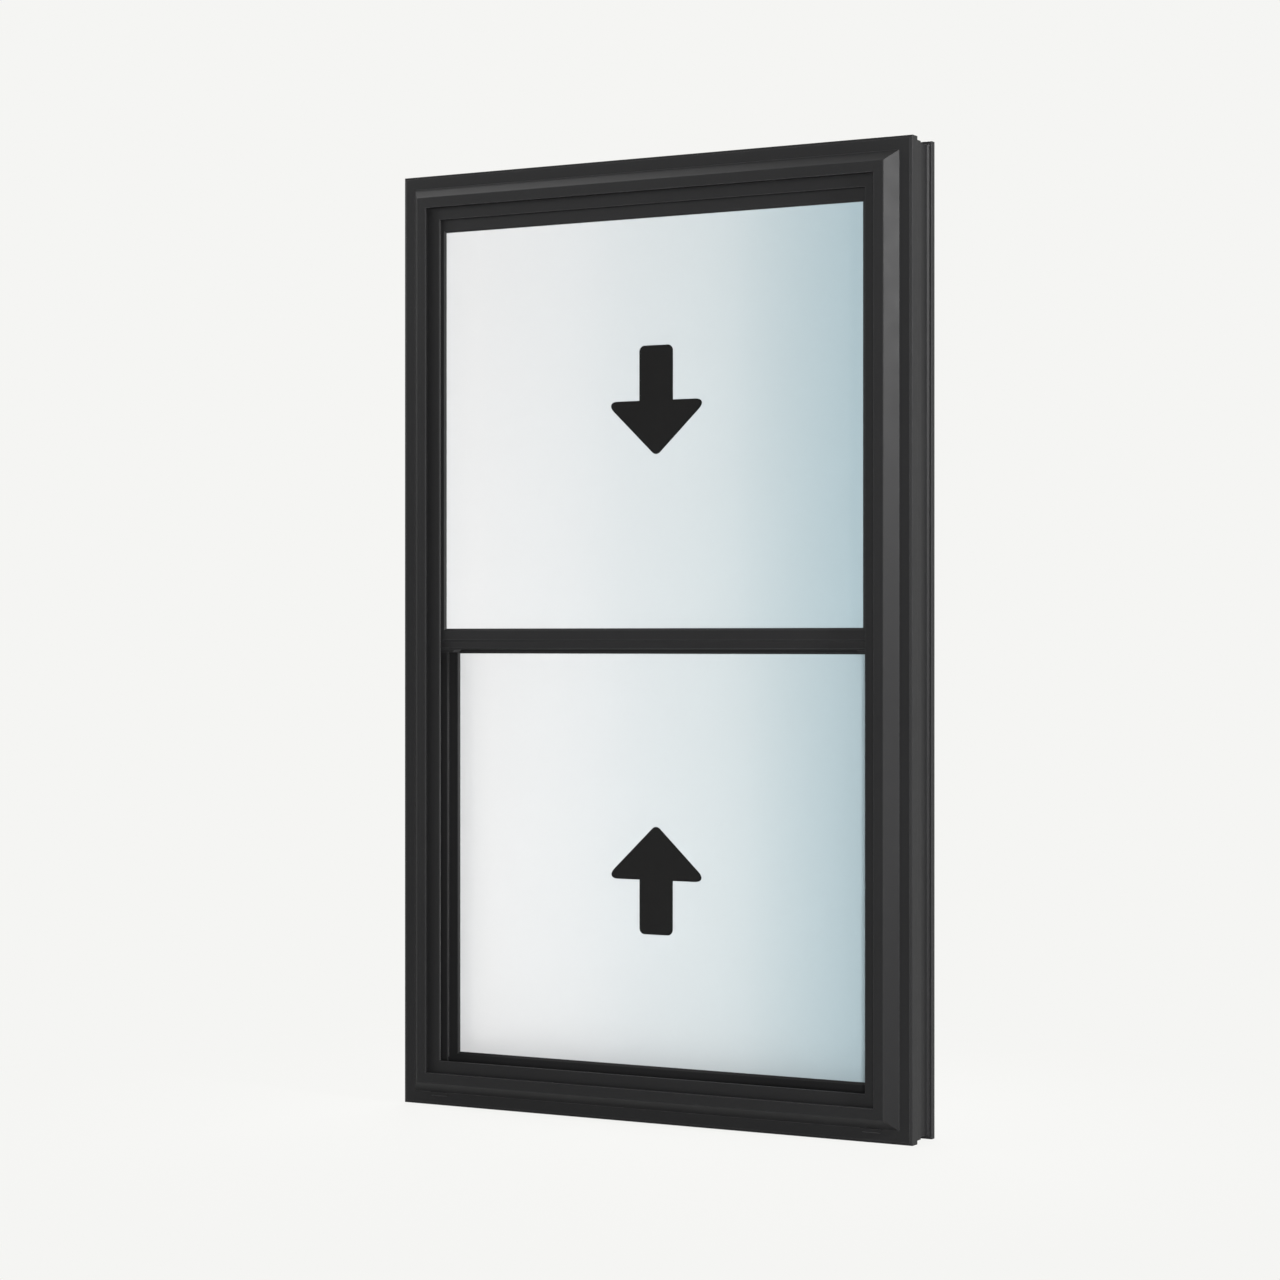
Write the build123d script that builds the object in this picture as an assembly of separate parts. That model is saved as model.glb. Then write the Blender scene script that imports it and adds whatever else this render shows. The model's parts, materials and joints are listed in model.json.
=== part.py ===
from build123d import *
import os

# A double hung window, 36 by 60 inches outside, seen from the weather side along +Y.
# Sizes in millimetres. X is the width, +Y runs indoors, Z is up from the sill's seat.
# Each section is drawn with u, the distance in from the piece's outer edge, and v, the
# depth behind the proud outside face of the frame.

# Overall
WIDTH = 914.4
HEIGHT = 1524.0

# Outer frame section
FLANGE_FACE = 21.1        # depth of the outer flange's face
FLANGE_EDGE_IN = 4.7      # soft edge of the flange, across the face
FLANGE_EDGE_BACK = 1.3    # soft edge of the flange, in depth
FLANGE_BACK = 41.6
FLANGE_WIDTH = 21.3       # flat face from the outer edge to the bevel
BEVEL_WIDTH = 16.8
LIP_WIDTH = 16.9          # proud flat face inside the bevel
LIP_THICK = 4.8
SCREEN_GROOVE_DEEP = 9.0  # how far the insect screen's groove runs under the lip
STOP_FACE = 12.5          # depth of the blind stop's face
STOP_THICK = 2.5
STOP_REACH = 74.4         # blind stop's free edge, in from the outer edge
WEB_OUT = 4.0             # jamb's plain side, set in from the flange
WEB_IN = 30.0             # floor of the sash tracks
PARTING_THICK = 3.5
PARTING_REACH = 63.9
ROOM_STOP_REACH = 68.0
ROOM_STOP_THICK = 11.1
SILL_DAM_REACH = 48.0     # room stop along the sill, lower so that the lift shelf is free
ROOM_STOP_ROUND = 4.0
RIM_DEEP = 12.1           # rim round the room side
RIM_ROUND = 1.2
SIDE_GROOVE_DEEP = 2.5
SIDE_GROOVE_START = 61.7
FLANGE_ROUND = 1.2
BEVEL_ROUND = 2.0         # between the bevel and the proud lip
FIN_ROUND = 0.8           # free edges of the lip, the blind stop and the parting stop

# Sashes
SASH_THICK = 28.0
SASH_ROUND = 1.0
SASH_CLEAR = 5.0          # running clearance of the sashes all round
SIGHT_SIDE = 47.0         # stile from its outer edge to the glass
SIGHT_TOP = 60.6          # upper sash, top rail
SIGHT_MEET_UPPER = 34.3   # upper sash, meeting rail
SIGHT_MEET_LOWER = 36.7   # lower sash, meeting rail
SIGHT_BOTTOM = 48.9       # lower sash, bottom rail
GLAZING_LIP = 2.5
GLAZING_BEVEL = 3.5
GLASS_COVER = 14.0        # how far the glass runs in under the lip
GLASS_EDGE_GAP = 0.5
PANE_THICK = 3.0
PANE_GAP = 10.0
SPACER_WIDTH = 8.0
SPACER_SET = 2.0          # spacer bar, in from the panes' edges
BEAD_COVER = 12.0
BEAD_BEVEL = 6.0
MEET_LINE = 762.0         # level at which the two sashes meet
MEET_UPPER_BELOW = 15.3   # upper meeting rail's foot, below that line
MEET_LOWER_ABOVE = 15.0   # lower meeting rail's top, above it
MEET_STEP_HIGH = 15.7     # steps of the upper meeting rail, down from its lip's foot
MEET_STEP_BEVEL = 3.0
MEET_FOOT_BEVEL = 2.5
FOOT_LONG = 60.0          # feet under the two ends of the upper meeting rail
FOOT_HIGH = 4.5

# Meeting rail hooks
HOOK_THICK = 1.5
HOOK_SHELF = 2.0
HOOK_END_CLEAR = 5.0
HOOK_UPPER_RISE = 18.0
HOOK_LOWER_DROP = 16.0
HOOK_UPPER_UP = 3.3       # shelf above the upper rail's foot
HOOK_LOWER_DOWN = 3.0     # shelf below the lower rail's top

# Balances
SLOT_WIDE = 10.0
POCKET_WIDE = 18.0
POCKET_FLOOR = 12.0
TRACK_WALL = 4.0
SHOE_CLEAR = 0.5
SHOE_HIGH = 60.0
SHOE_UP = 8.0             # shoe's foot above the sash's foot
SHOE_BEVEL = 2.0
PIVOT_WIDE = 6.0
PIVOT_HIGH = 9.0

# Seals
SEAL_CLEAR = 0.5
PILE_WIDE = 6.5
PILE_EDGE = 1.4           # pile strip, back from the fin's free edge
SEAL_WIDE = 8.0
SEAL_ROUND = 2.5

# Sill
SILL_FLOOR_OUT = 58.0
SILL_FLOOR_IN = 62.0
WEEP_LONG = 34.0
WEEP_HIGH = 6.0
WEEP_ROUND = 2.5          # lower corners of the weep's pocket
WEEP_LEDGE = 1.5          # ledge round the drain, on which the cover seats
WEEP_DEEP = 14.0
WEEP_FROM_SIDE = 68.0
COVER_THICK = 2.6
COVER_PROUD = 0.6
COVER_CLEAR = 0.3
COVER_ROUND = 0.5

# Fixing holes through the floor of the head's room-side track
FIX_HOLE_R = 3.2
FIX_FROM_CENTRE = 300.0

# Hardware
LOCK_FROM_CENTRE = 180.0
LOCK_LONG = 64.0
LOCK_WIDE = 20.0
LOCK_HIGH = 7.0
LOCK_ROUND = 2.0
LOCK_BACK = 4.5           # lock, behind the sash's face
LEVER_LONG = 46.0
LEVER_WIDE = 9.0
LEVER_HIGH = 4.0
HUB_R = 8.5
HUB_HIGH = 6.0
KEEPER_LONG = 58.0
KEEPER_HIGH = 12.0
KEEPER_THICK = 1.5
KEEPER_UP = 4.0
LIFT_REACH = 12.0
LIFT_ROOT = 7.0           # lift shelf's thickness at the sash and at its nose
LIFT_NOSE = 4.0
LIFT_NOSE_ROUND = 1.9
LIFT_UP = 30.0
LIFT_END = 80.0

# Places that follow from the sizes above
SEAT_V = (FLANGE_FACE + FLANGE_EDGE_BACK + FLANGE_BACK) / 2
BEVEL_IN = FLANGE_WIDTH + BEVEL_WIDTH
LIP_REACH = BEVEL_IN + LIP_WIDTH
STOP_BACK = STOP_FACE + STOP_THICK
UPPER_FACE = STOP_BACK + SASH_CLEAR
UPPER_BACK = UPPER_FACE + SASH_THICK
PARTING_FACE = UPPER_BACK + SASH_CLEAR
PARTING_BACK = PARTING_FACE + PARTING_THICK
LOWER_FACE = PARTING_BACK + SASH_CLEAR
LOWER_BACK = LOWER_FACE + SASH_THICK
ROOM_STOP_FACE = LOWER_BACK + SASH_CLEAR
DEPTH = ROOM_STOP_FACE + ROOM_STOP_THICK
SASH_IN = WEB_IN + SASH_CLEAR
UNIT_THICK = 2 * PANE_THICK + PANE_GAP
HALF_W = WIDTH / 2
SASH_HALF = HALF_W - SASH_IN
UPPER_TOP = HEIGHT - SASH_IN
LOWER_FOOT = SASH_IN
MEET_UPPER_BOTTOM = MEET_LINE - MEET_UPPER_BELOW
MEET_LOWER_TOP = MEET_LINE + MEET_LOWER_ABOVE

os.makedirs("parts", exist_ok=True)


def save(node, solid):
    """Writes one named piece."""
    export_step(solid, "parts/" + node + ".step")


def block(u0, u1, v0, v1):
    """A rectangle of a section."""
    return Pos((u0 + u1) / 2, (v0 + v1) / 2) * Rectangle(u1 - u0, v1 - v0)


def shape(*points):
    """A section outline with straight sides."""
    return make_face(Polyline(*points, close=True))


def solid_box(x0, x1, v0, v1, z0, z1):
    """A box given by X, by depth behind the proud face and by height."""
    place = Pos((x0 + x1) / 2, (v0 + v1) / 2 - SEAT_V, (z0 + z1) / 2)
    return place * Box(x1 - x0, v1 - v0, z1 - z0)


def softened(section, radius, *corners):
    """Rounds those corners of a section that lie at the given places."""
    picked = [section.vertices().sort_by_distance((u, v))[0] for u, v in corners]
    return fillet(picked, radius)


def upright(section, x0, z0, z1):
    """Stands a section up: u runs to +X from x0, v runs to +Y."""
    return extrude(Pos(x0, -SEAT_V, z0) * section, z1 - z0)


def level(section, z0, x0, x1):
    """Lays a section along X: u runs up from z0, v runs to +Y."""
    plane = Plane(origin=(x0, -SEAT_V, z0), x_dir=(0, 0, 1), z_dir=(1, 0, 0))
    flipped = mirror(section, about=Plane.XZ)
    return extrude(plane * flipped, x1 - x0)


def hung(section, z1, x0, x1):
    """Lays a section along X upside down: u runs down from z1."""
    return mirror(level(section, -z1, x0, x1), about=Plane.XY)


def plate(outline, v0, v1, x=0, z=0):
    """An outline drawn in X and Z round the point x, z, given its depth."""
    plane = Plane(origin=(x, v1 - SEAT_V, z), x_dir=(1, 0, 0), z_dir=(0, -1, 0))
    return extrude(plane * outline, v1 - v0)


def wedge(*corners):
    """A slab through the whole depth that trims a piece at its mitres."""
    return plate(shape(*corners), -DEPTH, 2 * DEPTH)


def ring(sections, half, z0, z1, sights):
    """Four mitred bars: left, right, top and bottom, each with its own section and sight width."""
    left, right, top, bottom = sections
    side, head, foot = sights
    in_x = half - side
    low = z0 + foot
    high = z1 - head
    bar_left = upright(left, -half, z0, z1)
    bar_left &= wedge((-half, z0), (-in_x, low), (-in_x, high), (-half, z1))
    bar_right = mirror(upright(right, -half, z0, z1), about=Plane.YZ)
    bar_right &= wedge((half, z0), (in_x, low), (in_x, high), (half, z1))
    bar_top = hung(top, z1, -half, half)
    bar_top &= wedge((-half, z1), (-in_x, high), (in_x, high), (half, z1))
    bar_bottom = level(bottom, z0, -half, half)
    bar_bottom &= wedge((-half, z0), (-in_x, low), (in_x, low), (half, z0))
    return bar_left, bar_right, bar_top, bar_bottom


# Outer frame


def frame_section(room_reach):
    """Section of head, sill and jambs: flange, bevel, lip, web and the three stops."""
    moulding = shape(
        (0, FLANGE_BACK),
        (0, FLANGE_FACE + FLANGE_EDGE_BACK),
        (FLANGE_EDGE_IN, FLANGE_FACE),
        (FLANGE_WIDTH, FLANGE_FACE),
        (BEVEL_IN, 0),
        (LIP_REACH, 0),
        (LIP_REACH, STOP_BACK),
        (WEB_IN, STOP_BACK),
        (WEB_IN, FLANGE_BACK),
    )
    moulding -= block(LIP_REACH - SCREEN_GROOVE_DEEP, LIP_REACH, LIP_THICK, STOP_FACE)
    web = block(WEB_OUT, WEB_IN, FLANGE_FACE, DEPTH)
    blind_stop = block(WEB_IN, STOP_REACH, STOP_FACE, STOP_BACK)
    parting = block(WEB_IN - TRACK_WALL, PARTING_REACH, PARTING_FACE, PARTING_BACK)
    room_stop = block(WEB_IN - TRACK_WALL, room_reach, ROOM_STOP_FACE, DEPTH)
    rim = block(0, WEB_IN - TRACK_WALL, DEPTH - RIM_DEEP, DEPTH)
    web -= shape(
        (0, SIDE_GROOVE_START),
        (WEB_OUT, SIDE_GROOVE_START),
        (WEB_OUT + SIDE_GROOVE_DEEP, SIDE_GROOVE_START + SIDE_GROOVE_DEEP),
        (WEB_OUT + SIDE_GROOVE_DEEP, DEPTH - RIM_DEEP - SIDE_GROOVE_DEEP),
        (WEB_OUT, DEPTH - RIM_DEEP),
        (0, DEPTH - RIM_DEEP),
    )
    section = moulding + web + blind_stop + parting + room_stop + rim
    section = softened(section, FLANGE_ROUND, (0, FLANGE_FACE + FLANGE_EDGE_BACK), (0, FLANGE_BACK))
    section = softened(section, BEVEL_ROUND, (BEVEL_IN, 0))
    section = softened(
        section,
        FIN_ROUND,
        (LIP_REACH, 0),
        (STOP_REACH, STOP_FACE),
        (STOP_REACH, STOP_BACK),
        (PARTING_REACH, PARTING_FACE),
        (PARTING_REACH, PARTING_BACK),
    )
    section = softened(section, RIM_ROUND, (0, DEPTH - RIM_DEEP), (0, DEPTH))
    return softened(section, ROOM_STOP_ROUND, (room_reach, DEPTH))


def balance_pocket(face):
    """Slot and pocket in a track's floor, for a sash that starts at depth face."""
    mid = face + SASH_THICK / 2
    slot = block(WEB_IN - TRACK_WALL, WEB_IN, mid - SLOT_WIDE / 2, mid + SLOT_WIDE / 2)
    pocket = block(POCKET_FLOOR, WEB_IN - TRACK_WALL, mid - POCKET_WIDE / 2, mid + POCKET_WIDE / 2)
    return slot + pocket


plain = frame_section(ROOM_STOP_REACH)
jamb = plain - balance_pocket(UPPER_FACE) - balance_pocket(LOWER_FACE)
sill_fill = shape(
    (WEB_IN, STOP_BACK),
    (SILL_FLOOR_OUT, STOP_BACK),
    (SILL_FLOOR_IN, PARTING_FACE),
    (WEB_IN, PARTING_FACE),
)
frame_sights = (STOP_REACH, STOP_REACH, STOP_REACH)
jamb_left, jamb_right, head, sill = ring(
    (jamb, jamb, plain, frame_section(SILL_DAM_REACH) + sill_fill), HALF_W, 0, HEIGHT, frame_sights
)


def weep_outline(inset):
    """Outline of a weep pocket and of what goes into it, round at the lower corners."""
    outline = Rectangle(WEEP_LONG - 2 * inset, WEEP_HIGH - 2 * inset)
    return fillet(outline.vertices().group_by(Axis.Y)[0], WEEP_ROUND - inset)


# Weeps in the sill's flange, each closed by a small cover
weep_z = FLANGE_WIDTH - WEEP_HIGH / 2
cover_face = FLANGE_FACE - COVER_PROUD
cover_back = cover_face + COVER_THICK
for end, label in ((-1, "left"), (1, "right")):
    weep_x = end * (HALF_W - WEEP_FROM_SIDE)
    sill -= plate(weep_outline(0), cover_face, cover_back, weep_x, weep_z)
    sill -= plate(weep_outline(WEEP_LEDGE), cover_back, FLANGE_FACE + WEEP_DEEP, weep_x, weep_z)
    cover = plate(weep_outline(COVER_CLEAR), cover_face, cover_back, weep_x, weep_z)
    save("sill_weep_cover_" + label, fillet(cover.faces().sort_by(Axis.Y)[0].edges(), COVER_ROUND))

# Screw holes through the head
for end in (-1, 1):
    place = Pos(end * FIX_FROM_CENTRE, LOWER_FACE + SASH_THICK / 2 - SEAT_V, HEIGHT - WEB_IN / 2)
    head -= place * Cylinder(FIX_HOLE_R, 2 * WEB_IN)

save("frame_head", head)
save("frame_sill", sill)
save("frame_jamb_left", jamb_left)
save("frame_jamb_right", jamb_right)

# Pile strips that the sashes run against, on the backs of the blind stop and the parting stop
for label, reach, back in (("outer", STOP_REACH, STOP_BACK), ("parting", PARTING_REACH, PARTING_BACK)):
    pile_in = reach - PILE_EDGE
    strip = solid_box(
        -HALF_W + pile_in - PILE_WIDE,
        -HALF_W + pile_in,
        back,
        back + SASH_CLEAR - SEAL_CLEAR,
        STOP_REACH,
        HEIGHT - STOP_REACH,
    )
    save(label + "_pile_left", strip)
    save(label + "_pile_right", mirror(strip, about=Plane.YZ))


# Sashes


def sash_section(sight, face):
    """Bar of a sash: a solid heel, a thin bevelled lip over the glass and the rebate behind it."""
    back = face + SASH_THICK
    bevel_foot = sight - GLAZING_BEVEL
    bar = shape((0, face), (bevel_foot, face), (sight, face + GLAZING_LIP), (sight, back), (0, back))
    bar = softened(bar, SASH_ROUND, (0, face), (bevel_foot, face), (0, back))
    return bar - block(sight - GLASS_COVER - GLASS_EDGE_GAP, sight, face + GLAZING_LIP, back)


def bead_section(sight, face):
    """Room-side bead that holds the glass in the rebate."""
    front = face + GLAZING_LIP + UNIT_THICK
    back = face + SASH_THICK
    heel = sight - GLASS_COVER - GLASS_EDGE_GAP
    toe = sight - GLASS_COVER + BEAD_COVER
    return shape(
        (heel, front),
        (toe, front),
        (toe, back - BEAD_BEVEL),
        (toe - BEAD_BEVEL, back),
        (heel, back),
    )


def meeting_section(face):
    """Upper sash's meeting rail: its outside steps back twice towards the foot."""
    bar = sash_section(SIGHT_MEET_UPPER, face)
    bar -= shape(
        (0, face),
        (MEET_STEP_HIGH, face),
        (MEET_STEP_HIGH - MEET_STEP_BEVEL, face + MEET_STEP_BEVEL),
        (MEET_FOOT_BEVEL, face + MEET_STEP_BEVEL),
        (0, face + MEET_STEP_BEVEL + MEET_FOOT_BEVEL),
    )
    return bar


def glazing(name, face, z0, z1, sights):
    """Sealed glass unit of a sash: two panes and the spacer bar between them."""
    side, head_sight, foot_sight = sights
    half = SASH_HALF - side + GLASS_COVER
    low = z0 + foot_sight - GLASS_COVER
    high = z1 - head_sight + GLASS_COVER
    first = face + GLAZING_LIP
    second = first + PANE_THICK + PANE_GAP
    save(name + "_pane_outer", solid_box(-half, half, first, first + PANE_THICK, low, high))
    save(name + "_pane_inner", solid_box(-half, half, second, second + PANE_THICK, low, high))
    out = SPACER_SET
    inn = SPACER_SET + SPACER_WIDTH
    spacer = solid_box(-half + out, half - out, first + PANE_THICK, second, low + out, high - out)
    spacer -= solid_box(-half + inn, half - inn, first, second + PANE_THICK, low + inn, high - inn)
    save(name + "_spacer", spacer)


def beads(name, face, z0, z1, sights):
    """The four room-side beads of a sash."""
    side, head_sight, foot_sight = sights
    sections = (
        bead_section(side, face),
        bead_section(side, face),
        bead_section(head_sight, face),
        bead_section(foot_sight, face),
    )
    names = ("left", "right", "top", "bottom")
    for label, bead in zip(names, ring(sections, SASH_HALF, z0, z1, sights)):
        save(name + "_bead_" + label, bead)


def shoes(name, face, z0):
    """Balance shoes in the jamb pockets, each with the pivot bar that carries the sash."""
    mid = face + SASH_THICK / 2
    foot = z0 + SHOE_UP
    shoe = solid_box(
        -HALF_W + POCKET_FLOOR + SHOE_CLEAR,
        -HALF_W + WEB_IN - TRACK_WALL - SHOE_CLEAR,
        mid - POCKET_WIDE / 2 + SHOE_CLEAR,
        mid + POCKET_WIDE / 2 - SHOE_CLEAR,
        foot,
        foot + SHOE_HIGH,
    )
    shoe = chamfer(shoe.faces().filter_by(Axis.Z).edges(), SHOE_BEVEL)
    shoe += solid_box(
        -HALF_W + WEB_IN - TRACK_WALL - SHOE_CLEAR,
        -HALF_W + SASH_IN,
        mid - PIVOT_WIDE / 2,
        mid + PIVOT_WIDE / 2,
        foot + SHOE_UP,
        foot + SHOE_UP + PIVOT_HIGH,
    )
    save(name + "_balance_shoe_left", shoe)
    save(name + "_balance_shoe_right", mirror(shoe, about=Plane.YZ))


def seal_section(face):
    """Bulb seal that stands on the middle of a sash's edge."""
    mid = face + SASH_THICK / 2
    tip = SASH_CLEAR - SEAL_CLEAR
    seal = block(0, tip, mid - SEAL_WIDE / 2, mid + SEAL_WIDE / 2)
    return softened(seal, SEAL_ROUND, (tip, mid - SEAL_WIDE / 2), (tip, mid + SEAL_WIDE / 2))


seal_half = SASH_HALF - SASH_CLEAR

# Upper sash, in the outer track
upper_sights = (SIGHT_SIDE, SIGHT_TOP, SIGHT_MEET_UPPER)
upper_left, upper_right, upper_top, upper_meet = ring(
    (
        sash_section(SIGHT_SIDE, UPPER_FACE),
        sash_section(SIGHT_SIDE, UPPER_FACE),
        sash_section(SIGHT_TOP, UPPER_FACE),
        meeting_section(UPPER_FACE),
    ),
    SASH_HALF,
    MEET_UPPER_BOTTOM,
    UPPER_TOP,
    upper_sights,
)
hook_half = HALF_W - PARTING_REACH - HOOK_END_CLEAR
hook_back = LOWER_FACE - SASH_CLEAR
upper_hook = block(HOOK_UPPER_UP, HOOK_UPPER_UP + HOOK_SHELF, UPPER_BACK, hook_back)
upper_hook += block(HOOK_UPPER_UP, HOOK_UPPER_UP + HOOK_UPPER_RISE, hook_back - HOOK_THICK, hook_back)
upper_meet += level(upper_hook, MEET_UPPER_BOTTOM, -hook_half, hook_half)
foot_end = -SASH_HALF + FOOT_LONG
foot_outline = shape(
    (-SASH_HALF, 0),
    (foot_end, 0),
    (foot_end - FOOT_HIGH, -FOOT_HIGH),
    (-SASH_HALF, -FOOT_HIGH),
)
foot_front = UPPER_FACE + MEET_STEP_BEVEL + MEET_FOOT_BEVEL
foot = plate(foot_outline, foot_front, UPPER_BACK - SASH_ROUND, z=MEET_UPPER_BOTTOM)
upper_meet += foot + mirror(foot, about=Plane.YZ)
keeper_z = MEET_UPPER_BOTTOM + KEEPER_UP
for end, label in ((-1, "left"), (1, "right")):
    keeper = solid_box(
        end * LOCK_FROM_CENTRE - KEEPER_LONG / 2,
        end * LOCK_FROM_CENTRE + KEEPER_LONG / 2,
        UPPER_BACK - KEEPER_THICK,
        UPPER_BACK,
        keeper_z + HOOK_SHELF,
        keeper_z + HOOK_SHELF + KEEPER_HIGH,
    )
    upper_meet -= keeper
    save("upper_keeper_" + label, keeper)
save("upper_stile_left", upper_left)
save("upper_stile_right", upper_right)
save("upper_top_rail", upper_top)
save("upper_meeting_rail", upper_meet)
glazing("upper", UPPER_FACE, MEET_UPPER_BOTTOM, UPPER_TOP, upper_sights)
beads("upper", UPPER_FACE, MEET_UPPER_BOTTOM, UPPER_TOP, upper_sights)
shoes("upper", UPPER_FACE, MEET_UPPER_BOTTOM)
save("upper_head_seal", level(seal_section(UPPER_FACE), UPPER_TOP, -seal_half, seal_half))

# Lower sash, in the room-side track
lower_sights = (SIGHT_SIDE, SIGHT_MEET_LOWER, SIGHT_BOTTOM)
lower_left, lower_right, lower_meet, lower_bottom = ring(
    (
        sash_section(SIGHT_SIDE, LOWER_FACE),
        sash_section(SIGHT_SIDE, LOWER_FACE),
        sash_section(SIGHT_MEET_LOWER, LOWER_FACE),
        sash_section(SIGHT_BOTTOM, LOWER_FACE),
    ),
    SASH_HALF,
    LOWER_FOOT,
    MEET_LOWER_TOP,
    lower_sights,
)
hook_front = UPPER_BACK + SASH_CLEAR
lower_hook = block(HOOK_LOWER_DOWN, HOOK_LOWER_DOWN + HOOK_SHELF, hook_front, LOWER_FACE)
lower_hook += block(HOOK_LOWER_DOWN, HOOK_LOWER_DOWN + HOOK_LOWER_DROP, hook_front, hook_front + HOOK_THICK)
lower_meet += hung(lower_hook, MEET_LOWER_TOP, -hook_half, hook_half)
save("lower_stile_left", lower_left)
save("lower_stile_right", lower_right)
save("lower_meeting_rail", lower_meet)
save("lower_bottom_rail", lower_bottom)
glazing("lower", LOWER_FACE, LOWER_FOOT, MEET_LOWER_TOP, lower_sights)
beads("lower", LOWER_FACE, LOWER_FOOT, MEET_LOWER_TOP, lower_sights)
shoes("lower", LOWER_FACE, LOWER_FOOT)
save("lower_sill_seal", hung(seal_section(LOWER_FACE), LOWER_FOOT, -seal_half, seal_half))

# Lift shelf along the room side of the lower sash
lift_half = HALF_W - LIFT_END
lift_section = shape(
    (LIFT_UP, LOWER_BACK),
    (LIFT_UP, LOWER_BACK + LIFT_REACH),
    (LIFT_UP - LIFT_NOSE, LOWER_BACK + LIFT_REACH),
    (LIFT_UP - LIFT_ROOT, LOWER_BACK),
)
lift_section = fillet(lift_section.vertices().group_by(Axis.Y)[-1], LIFT_NOSE_ROUND)
lift = level(lift_section, LOWER_FOOT, -lift_half, lift_half)
save("lower_lift_rail", lift)

# Sash locks on top of the lower meeting rail, turned open
for label in ("left", "right"):
    lock_place = Pos(LOCK_FROM_CENTRE, LOWER_FACE + LOCK_BACK + LOCK_WIDE / 2 - SEAT_V, MEET_LOWER_TOP)
    base = extrude(SlotOverall(LOCK_LONG, LOCK_WIDE), LOCK_HIGH)
    base = fillet(base.faces().sort_by(Axis.Z)[-1].edges(), LOCK_ROUND)
    lever = extrude(Circle(HUB_R), HUB_HIGH)
    arm = extrude(SlotOverall(LEVER_LONG, LEVER_WIDE), LEVER_HIGH)
    lever += Pos(LEVER_LONG / 2 - HUB_R, 0, HUB_HIGH - LEVER_HIGH) * arm
    lever = lock_place * Pos(0, 0, LOCK_HIGH) * lever
    base = lock_place * base
    if label == "left":
        base = mirror(base, about=Plane.YZ)
        lever = mirror(lever, about=Plane.YZ)
    save("lower_lock_base_" + label, base)
    save("lower_lock_lever_" + label, lever)
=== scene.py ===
"""Finishes, seals, screws, arrows and stage of a black double hung window, around its solid parts."""

import json
import math

import bmesh
import bpy
from bpy.props import FloatProperty, FloatVectorProperty, IntProperty, PointerProperty
from mathutils import Matrix, Vector

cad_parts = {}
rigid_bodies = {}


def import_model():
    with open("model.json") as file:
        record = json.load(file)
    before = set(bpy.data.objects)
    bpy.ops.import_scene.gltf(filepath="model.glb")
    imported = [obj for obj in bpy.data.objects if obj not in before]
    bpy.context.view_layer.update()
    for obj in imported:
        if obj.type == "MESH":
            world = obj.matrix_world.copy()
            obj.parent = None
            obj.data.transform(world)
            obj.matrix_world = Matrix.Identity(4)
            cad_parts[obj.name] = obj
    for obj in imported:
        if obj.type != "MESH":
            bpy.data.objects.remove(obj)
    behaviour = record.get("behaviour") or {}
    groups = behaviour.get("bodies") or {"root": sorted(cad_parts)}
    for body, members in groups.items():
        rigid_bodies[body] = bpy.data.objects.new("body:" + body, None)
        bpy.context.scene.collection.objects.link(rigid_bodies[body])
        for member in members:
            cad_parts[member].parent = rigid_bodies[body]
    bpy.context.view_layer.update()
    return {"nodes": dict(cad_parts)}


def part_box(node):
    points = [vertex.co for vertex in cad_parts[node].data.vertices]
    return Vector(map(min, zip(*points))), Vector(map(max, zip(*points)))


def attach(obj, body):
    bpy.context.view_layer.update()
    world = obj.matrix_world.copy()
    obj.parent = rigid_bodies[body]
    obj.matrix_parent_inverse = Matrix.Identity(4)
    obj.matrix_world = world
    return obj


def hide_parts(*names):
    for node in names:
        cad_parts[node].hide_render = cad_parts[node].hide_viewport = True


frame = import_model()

bl_info = {
    "name": "Double Hung Window Finish",
    "version": (1, 0, 0),
    "blender": (4, 5, 0),
    "location": "View3D > Sidebar > Window",
    "description": "Finishes, seals, screws, arrows and stage of a double hung window",
    "category": "Object",
}

NODES = frame["nodes"]
SIDES = ("left", "right")
SASHES = ("upper", "lower")
PANE_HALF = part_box("upper_pane_outer")[1].x

# Words in the names of the bars that stand and of those that lie
UPRIGHT_BARS = ("_jamb_", "_stile_", "_bead_left", "_bead_right")
LEVEL_BARS = ("frame_head", "frame_sill", "_rail", "_bead_top", "_bead_bottom", "_cover_")

# Cells of noise to a metre
VINYL_MOTTLE_CELLS = 2.5
VINYL_PATCH_CELLS = 35.0
VINYL_GRAIN_CELLS = 1100.0
DRAW_CELLS_ACROSS = 420.0
DRAW_CELLS_ALONG = 1.5
SKIN_MOTTLE_CELLS = 9.0
SKIN_PATCH_CELLS = 60.0
GLASS_WAVE_CELLS = (3.0, 3.0, 1.2)
PILE_MOTTLE_CELLS = 700.0
PILE_FIBRE_CELLS = (2500.0, 400.0, 2500.0)

# Share by which roughness wanders from place to place
VINYL_UNEVEN = 0.06
SKIN_UNEVEN = 0.1

# Most of a noise lies between these
NOISE_LOW = 0.3
NOISE_HIGH = 0.7
NOISE_ROUGHNESS = 0.55

# Cosine between a face and its rounded normal, where the painted edge highlight starts and where it is full
EDGE_HIGHLIGHT_START = 0.995
EDGE_HIGHLIGHT_FULL = 0.93
EDGE_SAMPLES = 4

# Lean of the rounded normal along a bar, up to which an edge is straight and from which it is a mitre; the
# painted edge highlight fades out at mitres
STRAIGHT_LEAN = 0.02
MITRE_LEAN = 0.10

# Sockets of a Mix node that mixes colours
MIX_FACTOR = 0
MIX_FIRST = 6
MIX_SECOND = 7
MIX_RESULT = 2

# Where the glass's painted reflection has its four colours, from its left edge to its right
REFLECTION_STOPS = (0.12, 0.4, 0.7, 0.95)

# Tufts of the pile, as shares of their pitch and height
TUFT_SIDES = 5
TUFT_FOOT = 0.42
TUFT_TIP = 0.30
TUFT_STEP = 0.06

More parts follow.
